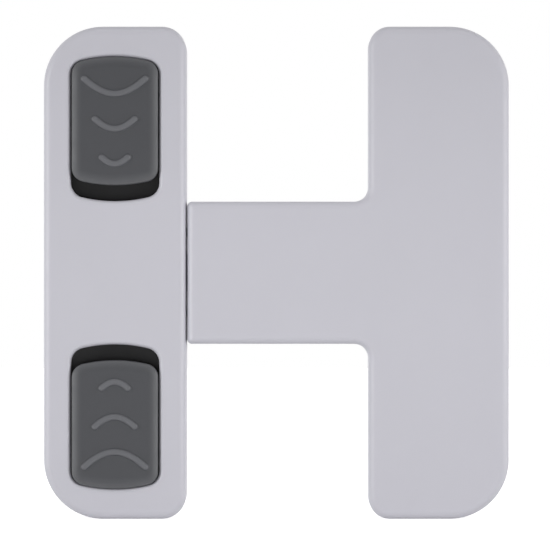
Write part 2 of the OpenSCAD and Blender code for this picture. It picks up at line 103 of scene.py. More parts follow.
def size(name, description, metres):
    """A length that a user can change, shown in the scene's unit."""
    return bpy.props.FloatProperty(
        name=name, description=description, default=metres, min=0.0, unit="LENGTH", precision=5
    )


def tone(name, description, code):
    """A colour that a user can change, given by its sRGB hex code."""
    return bpy.props.FloatVectorProperty(
        name=name, description=description, default=linear(code), size=3, min=0.0, max=1.0, subtype="COLOR"
    )


class LockSizes(bpy.types.PropertyGroup):
    """Sizes of the lock. Those that the frame fixes take their defaults from it."""

    bar_height: size("Bar height", "Height of both bars", LATCH_HIGH.z - LATCH_LOW.z)
    latch_width: size("Latch width", "Width of the latch bar", LATCH_HIGH.x - LATCH_LOW.x)
    catch_width: size("Catch width", "Width of the catch bar", 25.6 * MM)
    catch_left: size("Bridge end", "The bridge's end, from the latch bar's middle", CATCH_LOW.x)
    catch_right: size("Catch edge", "Right edge of the catch bar", CATCH_HIGH.x)
    bridge_height: size("Bridge height", "Height of the bridge", 26 * MM)
    depth: size("Cover depth", "From the door to the covers' front faces", -LATCH_LOW.y)
    latch_back: size("Latch cover back", "From the door to the latch cover", -LATCH_HIGH.y)
    catch_back: size("Catch cover back", "From the door to the catch cover", -CATCH_HIGH.y)
    outer_corner: size("Outer corners", "Radius of the bars' outer corners", 10.8 * MM)
    latch_inner_corner: size("Latch inner corners", "Its corners by the seam", 4.4 * MM)
    catch_inner_corner: size("Catch inner corners", "Its corners by the bridge", 3.8 * MM)
    junction: size("Bridge root", "Radius where the bridge runs into its bar", 2.75 * MM)
    bridge_corner: size("Bridge corners", "Radius of the bridge's corners at the seam", 0.9 * MM)
    edge_round: size("Front edge", "Rounding of the covers' front edges", 1.4 * MM)
    back_round: size("Back edge", "Rounding of the covers' back edges", 0.3 * MM)
    wall: size("Wall", "Thickness of the covers' side walls", 2 * MM)
    front_wall: size("Front wall", "Thickness of the covers' front walls", 2 * MM)
    slot_height: size("Arm slot", "Height of the slots that the arms slide through", 17.2 * MM)
    slot_low: size("Arm slot back", "From the door to the arm slots", 5.7 * MM)
    slot_high: size("Arm slot front", "From the door to the arm slots' far side", 10.4 * MM)
    window_width: size("Window width", "Width of each button window", 16.2 * MM)
    window_height: size("Window height", "Height of each button window", 26.4 * MM)
    window_margin: size("Window margin", "From the end of the bar to its window", 5.5 * MM)
    window_bow: size("Window bow", "Radius of the windows' bowed ends", 26 * MM)
    window_corner: size("Window corners", "Radius of the windows' corners", 2.7 * MM)
    window_round: size("Window edge", "Rounding of the windows' front edges", 0.8 * MM)
    well_depth: size("Well depth", "Depth of the windows' wells past the front wall", 2.4 * MM)
    well_wall: size("Well wall", "Thickness of the wells' walls", 1 * MM)
    cap_gap: size("Button gap", "Gap beside a button in its window", 0.2 * MM)
    cap_reach: size("Button reach", "How far a button's outer end closes its end gap", 0.06 * MM)
    cap_round: size("Button edge", "Tight rounding where a button's side ends", 0.4 * MM)
    crown_radius: size("Crown radius", "Radius of a button's wide outer rounding", 3.6 * MM)
    crown_width: size("Crown width", "Width of that rounding, seen from the front", 1.8 * MM)
    rib_height: size("Rib height", "Height of a grip rib above its button", 0.45 * MM)
    rib_half_width: size("Rib half width", "From the middle of a grip rib to its foot", 0.68 * MM)
    rib_first: size("First rib", "From a button's outer end to its first rib's tip", 6.7 * MM)
    rib_pitch: size("Rib pitch", "From one grip rib to the next", 6.4 * MM)
    rib_reach: size("Rib reach", "From the middle of the first rib to its end", 5.57 * MM)
    rib_radius: size("Rib radius", "Radius of the first rib's curve at its tip", 5.25 * MM)
    rib_run: size("Rib run", "How far from its tip the first rib's arms turn straight", 9 * MM)
    rib_share: bpy.props.FloatProperty(
        name="Rib share", description="A rib's size over the one before", default=0.65, min=0.1, max=1.0
    )
    boss_radius: size("Boss radius", "Radius of the screw bosses", 2.4 * MM)
    boss_bore: size("Boss bore", "Radius of the bosses' holes", 1.1 * MM)
    tongue_width: size("Tongue width", "Width of the tongue's rib in the latch cover", 6.8 * MM)
    arm_reach: size("Arm reach", "From the lock's middle to an arm's outer face", 8.2 * MM)
    wire: size("Spring wire", "Diameter of the button springs' wire", 0.5 * MM)
    moulded_edge: size("Moulded edge", "Rounding of the plates and sliders", 0.18 * MM)


class LockColours(bpy.types.PropertyGroup):
    """Colours of the lock's plastics, metals and tape."""

    shell: tone("Shell", "Light grey moulded ABS", "#C5C4CC")
    button: tone("Button", "Dark grey moulded ABS", "#414246")
    # Painted highlights: the ribs' and the edges' paler greys are painted on the buttons in place of the
    # light that their crests and rims catch.
    rib: tone("Ribs", "The same grey where fingers polish the grip ribs", "#606165")
    highlighted: tone("Rubbed edge", "The same grey where its edges are rubbed", "#545558")
    # Darker than the acetal's own black: partly its colour, partly painted shade for the deep gaps beside the
    # buttons.
    slider: tone("Slider", "Near-black acetal", "#0B0A0D")
    arm: tone("Arm", "Natural acetal", "#E6E4DE")
    zinc: tone("Zinc", "Zinc plating on the screws", "#B4B6BA")
    wire: tone("Wire", "Drawn spring steel", "#A3A4A6")
    foam: tone("Foam", "Closed-cell foam tape", "#B9B9B6")
    floor: tone("Floor", "Pale studio floor", "#F1F1F1")


# Outlines are drawn in plan: x to the right, y up the door, z out from the door.


def arc(centre, radius, start, end, steps):
    """Points on a circle: centre + radius * (cos a, sin a), with a from start to end in equal steps."""
    a = np.radians(np.linspace(start, end, steps + 1))[:, None]
    return np.asarray(centre, float) + radius * np.hstack([np.cos(a), np.sin(a)])


def inset_radius(radius, inset):
    """A corner's radius once its sides move in by inset."""
    return max(radius - inset, LEAST_CORNER)


def bar_outline(x0, x1, height, left, right, slot):
    """A box from x0 to x1 with corner radii left and right. It has points on x = 0, where the face is
    split, and on its right side at plus and minus slot, where the arm slot is cut."""
    top = height / 2
    return np.vstack([
        arc([x0 + left, left - top], left, 180, 270, 24),
        [[0, -top]],
        arc([x1 - right, right - top], right, 270, 360, 16),
        [[x1, -slot], [x1, slot]],
        arc([x1 - right, top - right], right, 0, 90, 16),
        [[0, top]],
        arc([x0 + left, top - left], left, 90, 180, 24),
    ])


def latch_outline(s, inset):
    """The latch bar seen from the front, with its sides moved in by inset."""
    half = s.latch_width / 2 - inset
    return bar_outline(
        -half, half, s.bar_height - 2 * inset,
        inset_radius(s.outer_corner, inset), inset_radius(s.latch_inner_corner, inset), s.slot_height / 2,
    )


def mirrored(points):
    """The same points below the middle, in the opposite order."""
    return points[::-1] * [1, -1]


def catch_outline(s, inset):
    """The T seen from the front: round corners at the ends of its bar, hollow ones where the bridge
    meets it, and points on the bridge's end where the arm slot is cut."""
    top = s.bar_height / 2 - inset
    bar = s.catch_right - s.catch_width
    end, bridge = inset_radius(s.bridge_corner, inset), s.bridge_height / 2 - inset
    inner, outer = inset_radius(s.catch_inner_corner, inset), inset_radius(s.outer_corner, inset)
    upper = np.vstack([
        arc([s.catch_right - inset - outer, top - outer], outer, 0, 90, 24),
        arc([bar + inset + inner, top - inner], inner, 90, 180, 16),
        arc([bar - s.junction, s.bridge_height / 2 + s.junction], s.junction + inset, 360, 270, 16),
        arc([s.catch_left + inset + end, bridge - end], end, 90, 180, 10),
        [[s.catch_left + inset, s.slot_height / 2]],
    ])
    return np.vstack([upper, mirrored(upper)])


def bowed_quarter(width, height, bow, corner):
    """The upper right quarter of an outline with straight sides and bowed ends, as three pieces: half
    of the corner's arc, its other half, and the bow up to the middle. The corner's circle touches the
    side and the bow from inside, so its centre lies bow - corner from the bow's centre."""
    low = height / 2 - bow
    x = width / 2 - corner
    y = low + math.sqrt((bow - corner) ** 2 - x ** 2)
    turn = math.degrees(math.atan2(y - low, x))
    return (
        arc([x, y], corner, 0, turn / 2, 12),
        arc([x, y], corner, turn / 2, turn, 12),
        arc([0, low], bow, turn, 90, 24),
    )


def bowed_outline(width, height, bow, corner):
    """The whole outline, from the right side round to the left, once each point."""
    first, second, end = bowed_quarter(width, height, bow, corner)
    quarter = np.vstack([first, second[1:], end[1:]])
    half = np.vstack([quarter, (quarter[:-1] * [-1, 1])[::-1]])
    return np.vstack([half, mirrored(half)])


def window_outline(s, grow):
    """A window's outline, moved out by grow on all sides."""
    return bowed_outline(
        s.window_width + 2 * grow, s.window_height + 2 * grow, s.window_bow + grow, s.window_corner + grow
    )


def rounding(radius, level, steps=10):
    """Inset and height along an edge rounded below level: radius * (1 - cos a) and
    level - radius + radius * sin a, for a from 0 to a right angle."""
    a = np.linspace(0, math.pi / 2, steps + 1)
    return [(radius * (1 - math.cos(x)), level - radius + radius * math.sin(x)) for x in a]


def hollowing(radius, level, steps=6):
    """The same rounding at the back, above level, from the flat back up to the side."""
    return [(inset, 2 * level - height) for inset, height in reversed(rounding(radius, level, steps))]


def inset_polygon(points, inset):
    """Each corner moves along its two sides' normals a and b by inset * (a + b) / (1 + a . b)."""
    ahead = np.roll(points, -1, 0) - points
    ahead /= np.linalg.norm(ahead, axis=1, keepdims=True)
    normal = np.stack([-ahead[:, 1], ahead[:, 0]], 1)
    before = np.roll(normal, 1, 0)
    return points + inset * (normal + before) / (1 + np.sum(normal * before, 1, keepdims=True))


def raised(points, z):
    """Plan points at height z."""
    return np.column_stack([points, np.full(len(points), z)])


def stood(points):
    """Plan points as they stand on the door: (x, y, z) becomes (x, -z, y)."""
    return np.column_stack([points[:, 0], -points[:, 2], points[:, 1]])


class Mould:
    """Collects the patches of one closed surface, in plan."""

    def __init__(self):
        self.points, self.faces, self.finish, self.count = [], [], [], 0

    def _add(self, points, faces, finish):
        """Take up a patch: its points, its faces as indexes into them, and its finish."""
        self.points.append(points)
        self.faces += [[self.count + i for i in face] for face in faces]
        self.finish += [finish] * len(faces)
        self.count += len(points)

    def band(self, rings, finish=0, closed=True, left_out=None):
        """Quads between rings of equal length: point (i, j) with (i, j + 1), (i + 1, j + 1) and
        (i + 1, j). A cell whose middle is in the box left_out stays open."""
        rings = np.asarray(rings)
        rows, columns = rings.shape[:2]
        index = np.arange(rows * columns).reshape(rows, columns)
        along = np.roll(index, -1, 1) if closed else index[:, 1:]
        near = index if closed else index[:, :-1]
        quads = np.stack([near[:-1], along[:-1], along[1:], near[1:]], -1).reshape(-1, 4)
        points = rings.reshape(-1, 3)
        if left_out is not None:
            middle = points[quads].mean(1)
            inside = np.all((middle > left_out[0]) & (middle < left_out[1]), 1)
            quads = quads[~inside]
        self._add(points, quads.tolist(), finish)

    def face(self, points):
        """One flat face through points."""
        self._add(np.asarray(points), [list(range(len(points)))], 0)

    def lathe(self, axis, profile):
        """A profile of radius r and height z turned about an axis: axis + r * (cos a, sin a)."""
        a = np.linspace(0, FULL_TURN, 32, endpoint=False)
        self.band([raised(axis + r * np.column_stack([np.cos(a), np.sin(a)]), z) for r, z in profile])

    def slab(self, outline, low, high):
        """An outline from height low to high with its edges rounded."""
        levels = hollowing(INNER_EDGE, low, 4) + rounding(INNER_EDGE, high, 4)
        rings = [raised(inset_polygon(outline, inset), z) for inset, z in levels]
        self.band(rings)
        self.face(rings[0])
        self.face(rings[-1])

    def flipped(self, way):
        """This mould, upside down where way is -1."""
        for points in self.points:
            points[:, 1] *= way
        return self


def collect(o):
    """Put a new object in the scene, at the origin."""
    bpy.context.scene.collection.objects.link(o)
    return o


def finish_mesh(mesh, sharp):
    """Merge the patches' shared edges, turn every face outwards, and mark edges sharper than sharp."""
    same_place, no_length = 0.0004 * MM, 0.0002 * MM
    work = bmesh.new()
    work.from_mesh(mesh)
    bmesh.ops.remove_doubles(work, verts=work.verts, dist=same_place)
    bmesh.ops.dissolve_degenerate(work, edges=work.edges, dist=no_length)
    bmesh.ops.recalc_face_normals(work, faces=work.faces)
    work.to_mesh(mesh)
    work.free()
    mesh.shade_smooth()
    mesh.set_sharp_from_angle(angle=math.radians(sharp))


def weigh_normals(o):
    """Large flat faces keep their own normal, so that roundings shade evenly into them."""
    o.modifiers.new("Weighted normals", "WEIGHTED_NORMAL").keep_sharp = True


def cast(name, mould, materials, sharp=32.0):
    """The mould's surface as an object, stood up on the door."""
    mesh = bpy.data.meshes.new(name)
    mesh.from_pydata(stood(np.vstack(mould.points)).tolist(), [], mould.faces)
    for material in materials:
        mesh.materials.append(material)
    mesh.polygons.foreach_set("material_index", np.array(mould.finish, np.int32))
    finish_mesh(mesh, sharp)
    o = collect(bpy.data.objects.new(name, mesh))
    weigh_normals(o)
    return o


def break_edges(o, width):
    """Join a solid's loose triangles and round its sharp edges, without a change to its mesh."""
    o.modifiers.new("Join", "WELD").merge_threshold = 0.001 * MM
    flat = o.modifiers.new("Flat faces", "DECIMATE")
    flat.decimate_type, flat.angle_limit = "DISSOLVE", math.radians(0.5)
    edge = o.modifiers.new("Moulded edge", "BEVEL")
    edge.width, edge.segments, edge.limit_method = width, 2, "ANGLE"
    edge.angle_limit, edge.miter_outer = math.radians(40), "MITER_ARC"
    weigh_normals(o)


def dress(node, material):
    """Give a CAD node a finish."""
    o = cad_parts[node]
    o.data.materials.clear()
    o.data.materials.append(material)
    return o


# Materials


def add_node(tree, kind, inputs=None, **settings):
    """Add a shader node of a kind. Settings go to the node. inputs fills its sockets, by name or index,
    with values, outputs, or other nodes' first outputs."""
    node = tree.nodes.new("ShaderNode" + kind)
    for name, value in settings.items():
        setattr(node, name, value)
    for name, value in (inputs or {}).items():
        if isinstance(value, bpy.types.Node):
            value = value.outputs[0]
        if isinstance(value, bpy.types.NodeSocket):
            tree.links.new(value, node.inputs[name])
        else:
            node.inputs[name].default_value = value
    return node


# Sockets of a Mix node for colours. Its sockets for numbers have the same names, so these are indexes.
SHARE, DARK, PALE, MIXED = 0, 6, 7, 2


def per_mm(millimetres):
    """The texture scale at which a pattern on metre coordinates repeats at that size."""
    return 1 / (millimetres * MM)


def started(name):
    """A bare material of that name, its node tree and its object coordinates."""
    material = bpy.data.materials.new(name)
    material.use_nodes = True
    material.node_tree.nodes.clear()
    tree = material.node_tree
    place = add_node(tree, "TexCoord").outputs["Object"]
    return material, tree, place


def shaded(colour, share):
    """A colour at a share of its brightness, with full opacity."""
    return tuple(min(c * share, 1.0) for c in colour) + (1.0,)


def moulded_plastic(name, colour, roughness, ior, grain, depth, cloud=0.02, painted_highlights=()):
    """Injection-moulded plastic: a spark-eroded grain as a fine bump, slow clouding of the pigment
    along the flow, and gloss that changes a little where the melt met the steel. The grain, in mm, is
    drawn at two to four times its real 0.1 mm, so that it shows. The last argument lists distances to
    the door between which a painted highlight turns it paler, and the paler colour."""
    material, tree, place = started(name)
    clouds = add_node(tree, "TexNoise", {
        "Vector": place, "Scale": per_mm(14), "Detail": 3.0, "Roughness": 0.55,
    })
    tint = add_node(tree, "Mix", {
        SHARE: clouds.outputs["Fac"], DARK: shaded(colour, 1 - cloud), PALE: shaded(colour, 1 + cloud),
    }, data_type="RGBA")
    gloss = add_node(tree, "TexNoise", {
        "Vector": place, "Scale": per_mm(2.4), "Detail": 4.0, "Roughness": 0.6,
    })
    rough = add_node(tree, "MapRange", {
        "Value": gloss.outputs["Fac"], "From Min": 0.3, "From Max": 0.7,
        "To Min": roughness - 0.04, "To Max": roughness + 0.04,
    })
    # Painted highlight: the colour is painted paler between two distances to the door.
    for start, end, highlight_colour in painted_highlights:
        out = add_node(tree, "SeparateXYZ", {"Vector": place})
        share = add_node(tree, "MapRange", {"Value": out.outputs["Y"], "From Min": -start, "From Max": -end})
        tint = add_node(tree, "Mix", {
            SHARE: share, DARK: tint.outputs[MIXED], PALE: shaded(highlight_colour, 1.0),
        }, data_type="RGBA")
    pits = add_node(tree, "TexNoise", {"Vector": place, "Scale": per_mm(grain)})
    bump = add_node(tree, "Bump", {"Height": pits.outputs["Fac"], "Distance": depth * MM})
    plastic = add_node(tree, "BsdfPrincipled", {
        "Base Color": tint.outputs[MIXED], "Roughness": rough, "IOR": ior, "Normal": bump,
    })
    add_node(tree, "OutputMaterial", {"Surface": plastic})
    return material


def plated_metal(name, colour, roughness, grain):
    """Bright metal with fine drawn or tumbled marks, which break up its reflections."""
    material, tree, place = started(name)
    marks = add_node(tree, "TexNoise", {
        "Vector": place, "Scale": per_mm(grain), "Detail": 5.0, "Roughness": 0.65,
    })
    tint = add_node(tree, "Mix", {
        SHARE: marks.outputs["Fac"], DARK: shaded(colour, 0.86), PALE: shaded(colour, 1.08),
    }, data_type="RGBA")
    rough = add_node(tree, "MapRange", {
        "Value": marks.outputs["Fac"], "From Min": 0.3, "From Max": 0.7,
        "To Min": roughness - 0.08, "To Max": roughness + 0.1,
    })
    bump = add_node(tree, "Bump", {
        "Height": marks.outputs["Fac"], "Strength": 0.6, "Distance": 0.01 * MM,
    })
    metal = add_node(tree, "BsdfPrincipled", {
        "Base Color": tint.outputs[MIXED], "Metallic": 1.0, "Roughness": rough, "Normal": bump,
    })
    add_node(tree, "OutputMaterial", {"Surface": metal})
    return material


def cut_foam(name, colour):
    """Closed-cell foam where a knife cut it: open bubbles of about 0.3 mm, dull throughout."""
    material, tree, place = started(name)
    cells = add_node(tree, "TexVoronoi", {"Vector": place, "Scale": per_mm(0.3)})
    tint = add_node(tree, "Mix", {
        SHARE: cells.outputs["Distance"], DARK: shaded(colour, 0.72), PALE: shaded(colour, 1.1),
    }, data_type="RGBA")
    bump = add_node(tree, "Bump", {"Height": cells.outputs["Distance"], "Distance": 0.1 * MM})
    foam = add_node(tree, "BsdfPrincipled", {
        "Base Color": tint.outputs[MIXED], "Roughness": 0.92, "IOR": 1.47, "Normal": bump,
    })
    add_node(tree, "OutputMaterial", {"Surface": foam})
    return material


def adhesive_film(name, colour):
    """Pressure-sensitive adhesive over the foam: a tacky, glossy skin in slow ripples, through which
    the cells show, drawn at twice their size."""
    material, tree, place = started(name)
    cells = add_node(tree, "TexVoronoi", {"Vector": place, "Scale": per_mm(0.7)})
    ripples = add_node(tree, "TexNoise", {
        "Vector": place, "Scale": per_mm(5), "Detail": 4.0, "Roughness": 0.6,
    })
    tint = add_node(tree, "Mix", {
        SHARE: cells.outputs["Distance"], DARK: shaded(colour, 0.9), PALE: shaded(colour, 1.08),
    }, data_type="RGBA")
    rough = add_node(tree, "MapRange", {
        "Value": ripples.outputs["Fac"], "From Min": 0.35, "From Max": 0.65, "To Min": 0.28, "To Max": 0.5,
    })
    skin = add_node(tree, "Bump", {
        "Height": cells.outputs["Distance"], "Strength": 0.5, "Distance": 0.03 * MM,
    })
    wave = add_node(tree, "Bump", {
        "Height": ripples.outputs["Fac"], "Strength": 0.7, "Distance": 0.15 * MM, "Normal": skin,
    })
    film = add_node(tree, "BsdfPrincipled", {
        "Base Color": tint.outputs[MIXED], "Roughness": rough, "IOR": 1.47, "Normal": wave,
    })
    add_node(tree, "OutputMaterial", {"Surface": film})
    return material


def finish_named(name):
    """The lock's finish of that name, made when it is first asked for."""
    if name in bpy.data.materials:
        return bpy.data.materials[name]
    c = bpy.context.scene.lock_colours
    if name == "satin_abs_shell":
        # Light grey ABS with a satin grain: soft, even highlights.
        return moulded_plastic(name, c.shell, roughness=0.44, ior=1.54, grain=0.28, depth=0.006)
    if name == "matt_abs_button":
        # Dark grey ABS from a deeper grain: matt faces, with painted highlights that turn it paler over
        # the ribs' upper half and down the edges.
        face = -CAP_LOW.y - bpy.context.scene.lock_sizes.rib_height
        edge, foot, top = 0.45 * MM, 0.09 * MM, 0.29 * MM
        painted_highlights = ((face, face - edge, c.highlighted), (face + foot, face + top, c.rib))
        return moulded_plastic(
            name, c.button, roughness=0.55, ior=1.54, grain=0.22, depth=0.012, cloud=0.04, painted_highlights=painted_highlights
        )
    if name == "black_acetal_and_shade":
        # Acetal is waxy and runs dry, so it keeps a low sheen. Its near-black is partly its own colour and
        # partly painted shade for the deep gaps beside the buttons.
        return moulded_plastic(name, c.slider, roughness=0.38, ior=1.48, grain=0.4, depth=0.006, cloud=0.06)
    if name == "natural_acetal":
        # The same without pigment: milky, with a waxy sheen.
        return moulded_plastic(name, c.arm, roughness=0.36, ior=1.48, grain=0.4, depth=0.005)
    if name == "zinc_plated_steel":
        # Barrel plating: bright, with tumbling marks.
        return plated_metal(name, c.zinc, roughness=0.3, grain=0.35)
    if name == "drawn_spring_steel":
        # Drawn through a die: smoother and finer marked.
        return plated_metal(name, c.wire, roughness=0.26, grain=0.2)
    if name == "cut_foam":
        return cut_foam(name, c.foam)
    if name == "adhesive_film":
        return adhesive_film(name, c.foam)
    raise ValueError("The lock has no finish named " + name)


# Shapes of the pieces


def shell_profile(s, back):
    """Inset and height round a cover's wall: up the inside, across the back edge, and up the outside
    to the front face. It has levels at the arm slot's two edges."""
    roof = s.depth - s.front_wall
    lip = s.back_round / 2
    return [
        (s.wall, roof), (s.wall, s.slot_high), (s.wall, s.slot_low), (s.wall, back + lip),
        (s.wall - lip, back),
    ] + hollowing(s.back_round, back) + [
        (0.0, s.slot_low), (0.0, s.slot_high),
    ] + rounding(s.edge_round, s.depth, 14)


def add_shell(mould, s, outline, back, outside_x, inside_x):
    """A cover's wall round its outline, open at the arm slot between two values of x, with the slot's
    own four sides. Returns the rings of the roof and of the front."""
    rings = [raised(outline(s, inset), z) for inset, z in shell_profile(s, back)]
    half, margin = s.slot_height / 2, 0.1 * MM
    low, high = min(outside_x, inside_x) - margin, max(outside_x, inside_x) + margin
    mould.band(rings, left_out=([low, -half, s.slot_low], [high, half, s.slot_high]))
    corners = np.array([
        [-half, s.slot_low], [half, s.slot_low], [half, s.slot_high], [-half, s.slot_high],
    ])
    mould.band([np.column_stack([np.full(4, x), corners]) for x in (outside_x, inside_x)])
    return rings[0], rings[-1]


def screw_axis(node):
    """Where a screw's axis stands in plan."""
    low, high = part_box(node)
    return (low.x + high.x) / 2, (low.z + high.z) / 2


def add_boss(mould, s, node, low):
    """The boss that a screw bites into: a tube from low up into the roof, round the screw's own place,
    with a blind hole that ends half a millimetre past the screw's tip."""
    top, bore_end, lead = s.depth - s.front_wall / 2, 0.5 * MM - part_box(node)[0].y, 0.2 * MM
    mould.lathe(screw_axis(node), [
        (0.0, bore_end), (s.boss_bore, bore_end), (s.boss_bore, low + lead), (s.boss_bore + lead, low),
        (s.boss_radius, low), (s.boss_radius, top), (0.0, top),
    ])


def chains(ring):
    """A ring's left half from its top to its bottom, and its right half from its bottom to its top,
    both with the two points on x = 0."""
    on_middle = np.flatnonzero(np.abs(ring[:, 0]) < 1e-9)
    top = on_middle[np.argmax(ring[on_middle, 1])]
    bottom = on_middle[np.argmin(ring[on_middle, 1])]
    turned = np.roll(ring, -top, 0)
    cut = (bottom - top) % len(ring)
    return turned[:cut + 1], np.vstack([turned[cut:], turned[:1]])


def add_windowed_face(mould, ring, upper, lower):
    """The flat face inside ring and outside the two windows, as a left and a right half."""
    left, right = chains(ring)
    upper_left, upper_right = chains(upper)
    lower_left, lower_right = chains(lower)
    mould.face(np.vstack([left, lower_left[::-1], upper_left[::-1]]))
    mould.face(np.vstack([right, upper_right[::-1], lower_right[::-1]]))


def window_middle(s):
    """How far a window's middle lies from the bar's."""
    return s.bar_height / 2 - s.window_margin - s.window_height / 2


def latch_mould(s):
    """The latch bar's cover: its wall, its two windows with rounded edges and a well behind each, two
    bosses, and the rib that keeps the tongue from lifting."""
    mould = Mould()
    half = s.latch_width / 2
    roof = s.depth - s.front_wall
    inner, front = add_shell(mould, s, latch_outline, s.latch_back, half, half - s.wall)
    lip, well = INNER_EDGE, roof - s.well_depth
    levels = [
        (s.well_wall, roof), (s.well_wall, well + lip), (s.well_wall - lip, well), (lip, well),
        (0.0, well + lip), (0.0, roof),
    ] + rounding(s.window_round, s.depth)
    ends = []
    for way in (1, -1):
        rings = [raised(window_outline(s, grow) + [0, way * window_middle(s)], z) for grow, z in levels]
        mould.band(rings)
        ends.append((rings[0], rings[-1]))
    add_windowed_face(mould, front, ends[0][1], ends[1][1])
    add_windowed_face(mould, inner, ends[0][0], ends[1][0])
    boss_foot, rib_foot, rib_length = 3 * MM, 10.25 * MM, 8 * MM
    for node in ("upper_latch_screw", "lower_latch_screw"):
        add_boss(mould, s, node, boss_foot)
    left, right, up = half - rib_length, half - s.wall + SUNK, s.tongue_width / 2
    mould.slab(np.array([[left, -up], [right, -up], [right, up], [left, up]]), rib_foot, roof + SUNK)
    return mould


def catch_mould(s):
    """The T-shaped cover, with its bosses and the collars that hold the arms' anchors."""
    mould = Mould()
    for ring in add_shell(mould, s, catch_outline, s.catch_back, s.catch_left, s.catch_left + s.wall):
        mould.face(ring)
    boss_foot, collar_foot, collar_top = 5.55 * MM, 10.05 * MM, s.depth - s.front_wall / 2
    inner, outer = s.boss_radius - 0.1 * MM, 3.7 * MM
    for node in ("upper_bar_screw", "middle_bar_screw", "lower_bar_screw"):
        add_boss(mould, s, node, boss_foot)
    for node in ("upper_bridge_screw", "lower_bridge_screw"):
        add_boss(mould, s, node, boss_foot)
        mould.lathe(screw_axis(node), [
            (inner, collar_foot), (outer, collar_foot), (outer, collar_top), (inner, collar_top),
            (inner, collar_foot),
        ])
    return mould


def resampled(points, count):
    """Points evenly spaced along a line."""
    step = np.linalg.norm(np.diff(points, axis=0), axis=1)
    along = np.append(0, np.cumsum(step))
    at = np.linspace(0, along[-1], count)
    return np.column_stack([np.interp(at, along, points[:, k]) for k in (0, 1)])


def cap_sides(width, height, bow, corner, across, up):
    """A cap's outline as its bottom, right, top and left side, which meet in the middle of each
    corner. Bottom and top run to the right, left and right run up."""
    first, second, end = bowed_quarter(width, height, bow, corner)
    quarter = np.vstack([second, end[1:]])
    top = resampled(np.vstack([quarter * [-1, 1], quarter[::-1][1:]]), across)
    right = resampled(np.vstack([mirrored(first), first]), up)
    return top * [1, -1], right, top, right * [-1, 1]


def coons(bottom, right, top, left):
    """A grid of points between four sides: the blend of bottom and top, plus the blend of left and
    right, less the blend of the four corners."""
    u = np.linspace(0, 1, len(bottom))[None, :, None]
    v = np.linspace(0, 1, len(left))[:, None, None]
    across = (1 - v) * bottom[None] + v * top[None]
    up = (1 - u) * left[:, None] + u * right[:, None]
    corners = (1 - v) * ((1 - u) * bottom[0] + u * bottom[-1]) + v * ((1 - u) * top[0] + u * top[-1])
    return across + up - corners


def rib_relief(s, x, y, outer_end):
    """Height of the grip ribs at (x, y). A rib's middle line is the hyperbola
    tip + b * b / r * (sqrt(1 + (t / b) ** 2) - 1), with radius r at its tip and arms that turn straight
    over b. At distance d from it, the height is h * (1 - (d / w) ** 4) ** 1.5. The line's nearest point
    t is found in four steps, each along the line's tangent."""
    relief = np.zeros_like(x)
    for k in range(3):
        share = s.rib_share ** k
        reach, radius, run = s.rib_reach * share, s.rib_radius * share, s.rib_run * share
        above = y - (outer_end - s.rib_first - k * s.rib_pitch)
        t = np.clip(x, -reach, reach)
        for _ in range(4):
            bend = np.sqrt(1 + (t / run) ** 2)
            slope = t / (radius * bend)
            off = above - run ** 2 / radius * (bend - 1)
            t = np.clip(t + (x - t + off * slope) / (1 + slope ** 2), -reach, reach)
        off = above - run ** 2 / radius * (np.sqrt(1 + (t / run) ** 2) - 1)
        d = np.hypot(x - t, off)
        relief = np.maximum(relief, np.clip(1 - (d / s.rib_half_width) ** 4, 0, None) ** 1.5)
    return s.rib_height * relief


def crowned(s, level):
    """Inset and height along a button's edge below level: a tight rounding from its straight side up
    to the tilt at which the crown starts, then the crown. From tilt a to tilt b, a rounding of radius
    r adds r * (sin a - sin b) to the inset and r * (cos b - cos a) to the height."""
    start = math.asin(s.crown_width / s.crown_radius)
    crown_drop = s.crown_radius * (1 - math.cos(start))
    tight, wide = np.linspace(math.pi / 2, start, 7), np.linspace(start, 0, 17)[1:]
    inset = np.append(
        s.cap_round * (1 - np.sin(tight)),
        s.cap_round * (1 - math.sin(start)) + s.crown_radius * (math.sin(start) - np.sin(wide)),
    )
    drop = np.append(
        crown_drop + s.cap_round * (math.cos(start) - np.cos(tight)), s.crown_radius * (1 - np.cos(wide))
    )
    return list(zip(inset, level - drop))


def cap_mould(s, way):
    """A button: a face with three curved ribs, a wide crown and a tight rounding round it, and a
    straight side. way is 1 for the upper button and -1 for the lower, which is its mirror image."""
    mould = Mould()
    width, height = CAP_HIGH.x - CAP_LOW.x, CAP_HIGH.z - CAP_LOW.z + s.cap_reach
    middle = (CAP_HIGH.z + CAP_LOW.z + s.cap_reach) / 2
    low, high = -CAP_HIGH.y, -CAP_LOW.y - s.rib_height
    outer_end = CAP_HIGH.z
    across, up = 132, 206
    rings = []
    for inset, z in [(INNER_EDGE, low), (0.0, low + INNER_EDGE)] + crowned(s, high):
        bottom, right, top, left = cap_sides(
            width - 2 * inset, height - 2 * inset, s.window_bow - s.cap_gap - inset,
            s.window_corner - s.cap_gap - inset, across, up,
        )
        loop = np.vstack([bottom[:-1], right[:-1], top[::-1][:-1], left[::-1][:-1]]) + [0, middle]
        rings.append(raised(loop, z) + np.outer(rib_relief(s, *loop.T, outer_end), [0, 0, 1]))
    grid = coons(bottom, right, top, left) + [0, middle]
    x, y = grid[..., 0], grid[..., 1]
    mould.band(rings)
    mould.face(rings[0])
    mould.band(np.dstack([x, y, high + rib_relief(s, x, y, outer_end)]), closed=False)
    return mould.flipped(way)


